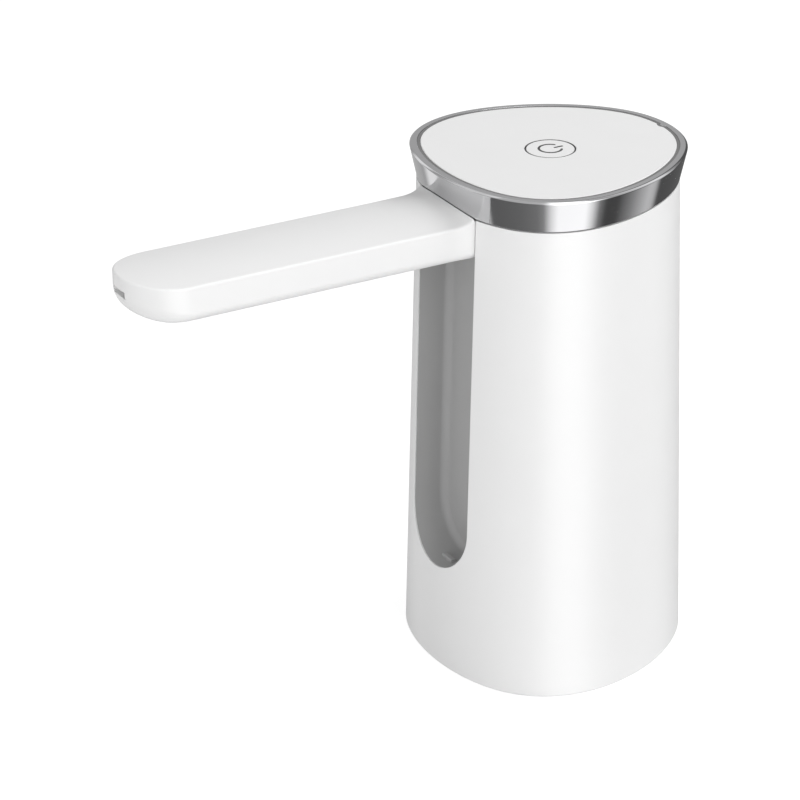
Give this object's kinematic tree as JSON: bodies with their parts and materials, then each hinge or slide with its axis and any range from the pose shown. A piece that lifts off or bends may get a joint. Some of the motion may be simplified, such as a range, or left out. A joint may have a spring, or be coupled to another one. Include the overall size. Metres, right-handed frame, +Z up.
{
  "type": "bottled water pump",
  "caption": "Battery pump that stands on the neck of a large water bottle, with a spout arm that folds down into its front",
  "frame": {"origin": "centre of the foot, on the body axis, at the level of the shell's bottom rim", "axes": "+Z up along the body axis, -Y towards the spout's tip, +X to the pump's left as it faces the user"},
  "size_m": [0.0702, 0.1519, 0.1319],
  "materials": {
    "shell_white": "satin white moulding",
    "lid_white": "satin white moulding",
    "channel_grey": "fine matt grey moulding",
    "ring_chrome": "bright plated plastic",
    "frame_plastic": "plain moulding",
    "dark_plastic": "plain moulding",
    "silicone": "soft translucent rubber",
    "screw_steel": "zinc plated",
    "motor_steel": "drawn steel",
    "copper": "copper windings and bronze",
    "cell_wrap": "shrink wrap",
    "board_green": "solder mask"
  },
  "bodies": {
    "housing": {"outer_shell": "shell_white", "top_panel": "lid_white", "groove_liner": "channel_grey", "trim_ring": "ring_chrome", "chassis": "frame_plastic", "top_deck": "frame_plastic", "neck_socket": "frame_plastic", "motor_end_cap": "frame_plastic", "swivel_tee": "dark_plastic", "inlet_barb": "dark_plastic", "pump_head": "dark_plastic", "valve_plate": "dark_plastic", "pump_housing": "dark_plastic", "tact_switch": "dark_plastic", "driver_chip": "dark_plastic", "inlet_hose": "silicone", "outlet_hose": "silicone", "neck_gasket": "silicone", "swivel_seal_1": "silicone", "swivel_seal_2": "silicone", "diaphragm": "silicone", "outlet_valve": "silicone", "inlet_valve_1": "silicone", "inlet_valve_2": "silicone", "inlet_valve_3": "silicone", "hinge_screw_1": "screw_steel", "hinge_screw_2": "screw_steel", "socket_screw_1": "screw_steel", "socket_screw_2": "screw_steel", "socket_screw_3": "screw_steel", "pump_screw_1": "screw_steel", "pump_screw_2": "screw_steel", "pump_screw_3": "screw_steel", "deck_screw_1": "screw_steel", "deck_screw_2": "screw_steel", "deck_screw_3": "screw_steel", "deck_screw_4": "screw_steel", "motor_can": "motor_steel", "motor_magnet_1": "motor_steel", "motor_magnet_2": "motor_steel", "charging_socket": "motor_steel", "battery_tab_bottom": "motor_steel", "battery_tab_top": "motor_steel", "motor_bush_front": "copper", "motor_bush_rear": "copper", "motor_brush_1": "copper", "motor_brush_2": "copper", "battery_cell": "cell_wrap", "control_board": "board_green"},
    "spout_arm": {"arm_body": "shell_white", "arm_base": "shell_white", "arm_tube": "silicone", "outlet_nozzle": "dark_plastic"},
    "button": {"power_button": "lid_white"},
    "plunger": {"switch_plunger": "dark_plastic"},
    "rotor": {"eccentric_hub": "motor_steel", "motor_shaft": "motor_steel", "motor_armature": "copper", "commutator": "copper"},
    "wobble": {"wobble_plate": "dark_plastic"}
  },
  "joints": [
    {"name": "spout_fold", "type": "hinge", "parent": "housing", "child": "spout_arm", "pos_m": [0, -0.0247, 0.1182], "axis": [1, 0, 0], "range_deg": [0, 88.5]},
    {"name": "button_press", "type": "slide", "parent": "housing", "child": "button", "axis": [0, 0, -1], "range_m": [0, 0.0005], "stiffness_N_per_m": 4000},
    {"name": "plunger_press", "type": "slide", "parent": "housing", "child": "plunger", "axis": [0, 0, -1], "range_m": [0, 0.0005]},
    {"name": "motor_spin", "type": "hinge", "parent": "housing", "child": "rotor", "pos_m": [-0.007, 0.005, 0.0693], "axis": [0, 0, 1], "continuous": true},
    {"name": "wobble_nutate", "type": "hinge", "parent": "rotor", "child": "wobble", "pos_m": [-0.007, 0.005, 0.06], "axis": [0.1219, 0, 0.9925], "continuous": true, "deforming": ["diaphragm"]}
  ],
  "couplings": [
    {"joint": "plunger_press", "follows": "button_press", "ratio": 1},
    {"joint": "wobble_nutate", "follows": "motor_spin", "ratio": -1}
  ]
}
